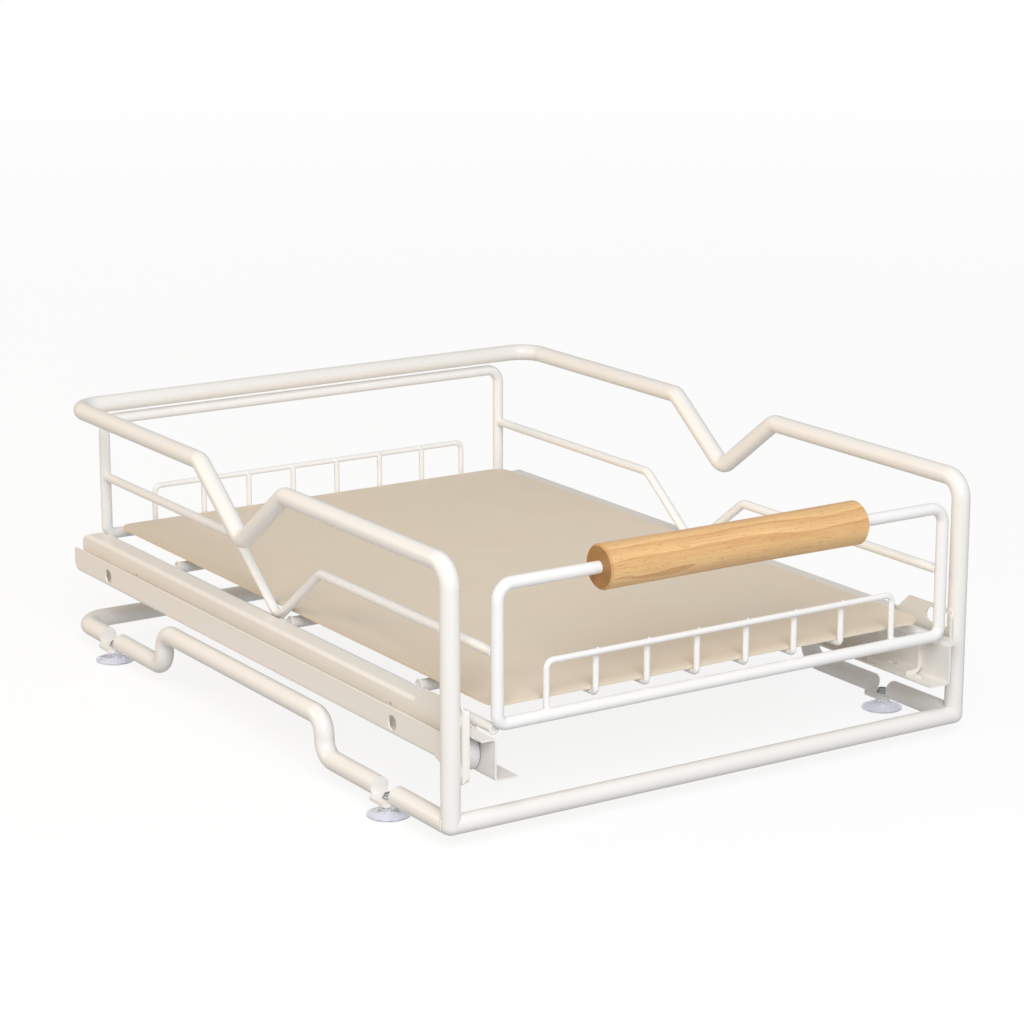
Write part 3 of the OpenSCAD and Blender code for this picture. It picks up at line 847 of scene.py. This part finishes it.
@dataclass
class StandWelds:
    """Welds of the tube stand and its slides."""

    material: bpy.types.Material
    upright_r: float = 6.0 * MM
    tube_r: float = 6.35 * MM
    wire: float = 0.7 * MM
    foot_steps: int = 44
    wall_dab: Span = (1.7 * MM, 0.9 * MM, 3.4 * MM)
    wall_inset: float = 0.6 * MM
    wall_reach: float = 0.2 * MM
    wall_shares: tuple[float, float, float] = (0.2, 0.5, 0.82)
    nose_dab: Span = (0.8 * MM, 0.9 * MM, 4.0 * MM)
    nose_inset: float = 9.0 * MM
    nose_reach: float = 0.3 * MM
    nose_spacing: float = 1.6 * MM

    def build(self) -> bpy.types.Object:
        """Lays every bead of the stand.

        Returns:
            The finished piece.
        """
        beads = Welds("stand_welds", "stand", "stand_coat", self.material, seed=11)
        for side in Side:
            self.foot(beads, side)
            self.slide(beads, side)
        return beads.finish()

    def foot(self, beads: Welds, side: Side) -> None:
        """Lays a row of dabs where a side tube of the base meets the front loop's corner.

        Args:
            beads: The stand's beads.
            side: Side of the object.
        """
        low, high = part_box("top_rail")
        x0 = side.sign * (high[0] - self.upright_r)
        y0 = low[1] + self.upright_r
        z0 = low[2] + self.upright_r
        for step in range(self.foot_steps):
            angle = 2 * math.pi * step / self.foot_steps
            across, up = self.tube_r * math.cos(angle), self.tube_r * math.sin(angle)
            reach = -1.0
            if up > 0 and abs(across) < self.upright_r:
                reach = math.sqrt(self.upright_r ** 2 - across ** 2)
            if across < 0 and abs(up) < self.upright_r:
                reach = max(reach, math.sqrt(self.upright_r ** 2 - up ** 2))
            if reach >= 0:
                beads.dab((x0 + side.sign * across, y0 + reach, z0 + up),
                          (self.wire, self.wire, self.wire))

    def slide(self, beads: Welds, side: Side) -> None:
        """Welds a slide's outer wall and nose to its upright.

        Args:
            beads: The stand's beads.
            side: Side of the object.
        """
        low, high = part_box(f"{side.value}_rail_wall")
        x = high[0] if side is Side.RIGHT else low[0]
        x -= side.sign * self.wall_inset
        for share in self.wall_shares:
            z = low[2] + (high[2] - low[2]) * share
            beads.dab((x, low[1] + self.wall_reach, z), self.wall_dab)
        nose_low, nose_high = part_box(f"{side.value}_cabinet_rail")
        nose_x = nose_high[0] if side is Side.RIGHT else nose_low[0]
        upright_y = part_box("top_rail")[0][1] + self.upright_r
        for z in (nose_low[2] + self.nose_inset, nose_high[2] - self.nose_inset):
            for way in (-1, 1):
                beads.dab((nose_x + side.sign * self.nose_reach,
                           upright_y + way * self.nose_spacing, z), self.nose_dab)


@dataclass
class Studio:
    """Floor, soft lamps, world and camera."""

    target: Span = (13.8 * MM, 8.5 * MM, 121.2 * MM)
    distance: float = 2024.6 * MM
    azimuth: float = -32.94
    elevation: float = 14.25
    focal_px: float = 2984.4
    frame_px: int = 1024
    sensor: float = 36.0
    key_place: Span = (-0.95, -1.9, 1.6)
    key_size: tuple[float, float] = (1.6, 1.6)
    key_power: float = 48.0
    key_colour: Colour = (0.95, 0.975, 1.0)
    fill_place: Span = (-1.4, 0.9, 0.8)
    fill_size: tuple[float, float] = (1.0, 0.8)
    fill_power: float = 8.0
    fill_colour: Colour = (1.0, 0.69, 0.36)
    sky: float = 0.42
    floor_size: float = 60.0
    floor_grey: float = 0.16
    floor_glow: float = 0.34
    floor_reach: tuple[float, float] = (0.5, 4.0)
    floor_seen: tuple[float, float] = (0.85, 0.93)
    far_clip: float = 100.0

    def build(self) -> None:
        """Sets up the floor, the light and the camera."""
        self.floor()
        self.world()
        self.lamp("key", self.key_place, self.key_size, self.key_power, self.key_colour)
        self.lamp("fill", self.fill_place, self.fill_size, self.fill_power, self.fill_colour)
        self.camera()
        bpy.context.scene.view_settings.view_transform = "Standard"

    def floor(self) -> None:
        """Adds a pale floor that keeps the object's shadow and pales with distance."""
        deselect()
        bpy.ops.mesh.primitive_plane_add(size=self.floor_size, location=ORIGIN)
        floor = bpy.context.object
        floor.name = "studio_floor"
        material = bpy.data.materials.new("studio_floor")
        material.use_nodes = True
        tree = material.node_tree
        tree.nodes.clear()
        b = Bench(tree)
        grey = (self.floor_grey, self.floor_grey, self.floor_grey, 1.0)
        matt = b.add("ShaderNodeBsdfDiffuse", Color=grey)
        glow = b.add("ShaderNodeEmission", Color=WHITE)
        seen = self.seen(b)
        place = b.add("ShaderNodeTexCoord").outputs["Object"]
        far = b.add("ShaderNodeVectorMath", operation="LENGTH")
        b.link(place, far.inputs[0])
        paper = b.spread(far.outputs["Value"], self.floor_reach, self.floor_seen)
        b.link(b.math("MAXIMUM", b.math("MULTIPLY", seen, paper), self.floor_glow),
               glow.inputs["Strength"])
        both = b.add("ShaderNodeAddShader")
        b.link(matt.outputs[0], both.inputs[0])
        b.link(glow.outputs[0], both.inputs[1])
        out = b.add("ShaderNodeOutputMaterial")
        b.link(both.outputs[0], out.inputs["Surface"])
        floor.data.materials.append(material)

    def seen(self, bench: Bench) -> bpy.types.NodeSocket:
        """Finds what the camera sees, straight or through the cups.

        Args:
            bench: Bench of the material or the world.

        Returns:
            1 for such a ray and 0 for the others.
        """
        path = bench.add("ShaderNodeLightPath").outputs
        return bench.math("MAXIMUM", path["Is Camera Ray"], path["Is Transmission Ray"])

    def world(self) -> None:
        """Lights the scene evenly and shows white behind the object."""
        world = bpy.data.worlds.new("studio_world")
        world.use_nodes = True
        tree = world.node_tree
        tree.nodes.clear()
        b = Bench(tree)
        soft = b.add("ShaderNodeBackground", Color=WHITE, Strength=self.sky)
        white = b.add("ShaderNodeBackground", Color=WHITE, Strength=1.0)
        mix = b.add("ShaderNodeMixShader")
        b.link(self.seen(b), mix.inputs[0])
        b.link(soft.outputs[0], mix.inputs[1])
        b.link(white.outputs[0], mix.inputs[2])
        out = b.add("ShaderNodeOutputWorld")
        b.link(mix.outputs[0], out.inputs["Surface"])
        bpy.context.scene.world = world

    def lamp(self, name: str, place: Span, size: tuple[float, float], power: float,
             colour: Colour) -> None:
        """Adds a soft lamp that looks at the object.

        Args:
            name: Name of the lamp.
            place: Its centre, in metres.
            size: Its width and height, in metres.
            power: Its power, in watts.
            colour: Its colour.
        """
        data = bpy.data.lights.new(name, "AREA")
        data.shape = "RECTANGLE"
        data.size, data.size_y = size
        data.energy = power
        data.color = colour
        lamp = bpy.data.objects.new(name, data)
        way = Vector(self.target) - Vector(place)
        lamp.location = place
        lamp.rotation_euler = way.to_track_quat("-Z", "Y").to_euler()
        bpy.context.scene.collection.objects.link(lamp)

    def camera(self) -> None:
        """Places the camera at the photograph's viewing angle."""
        turn, rise = math.radians(self.azimuth), math.radians(self.elevation)
        way = Vector((math.sin(turn) * math.cos(rise), -math.cos(turn) * math.cos(rise),
                      math.sin(rise)))
        data = bpy.data.cameras.new("photo_camera")
        data.sensor_width = self.sensor
        data.lens = self.focal_px * self.sensor / self.frame_px
        data.clip_end = self.far_clip
        camera = bpy.data.objects.new("photo_camera", data)
        camera.location = Vector(self.target) + way * self.distance
        camera.rotation_euler = (-way).to_track_quat("-Z", "Y").to_euler()
        bpy.context.scene.collection.objects.link(camera)
        bpy.context.scene.camera = camera


def main() -> None:
    """Dresses the part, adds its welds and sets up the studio."""
    logging.basicConfig(level=logging.INFO, format="%(name)s: %(message)s")
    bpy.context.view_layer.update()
    made = Coats().dress()
    pieces = [BasketWelds(made["basket_coat"]).build(), StandWelds(made["stand_coat"]).build()]
    for piece in pieces:
        LOG.info("%s: %d faces", piece.name, len(piece.data.polygons))
    Studio().build()


if __name__ == "__main__":
    main()
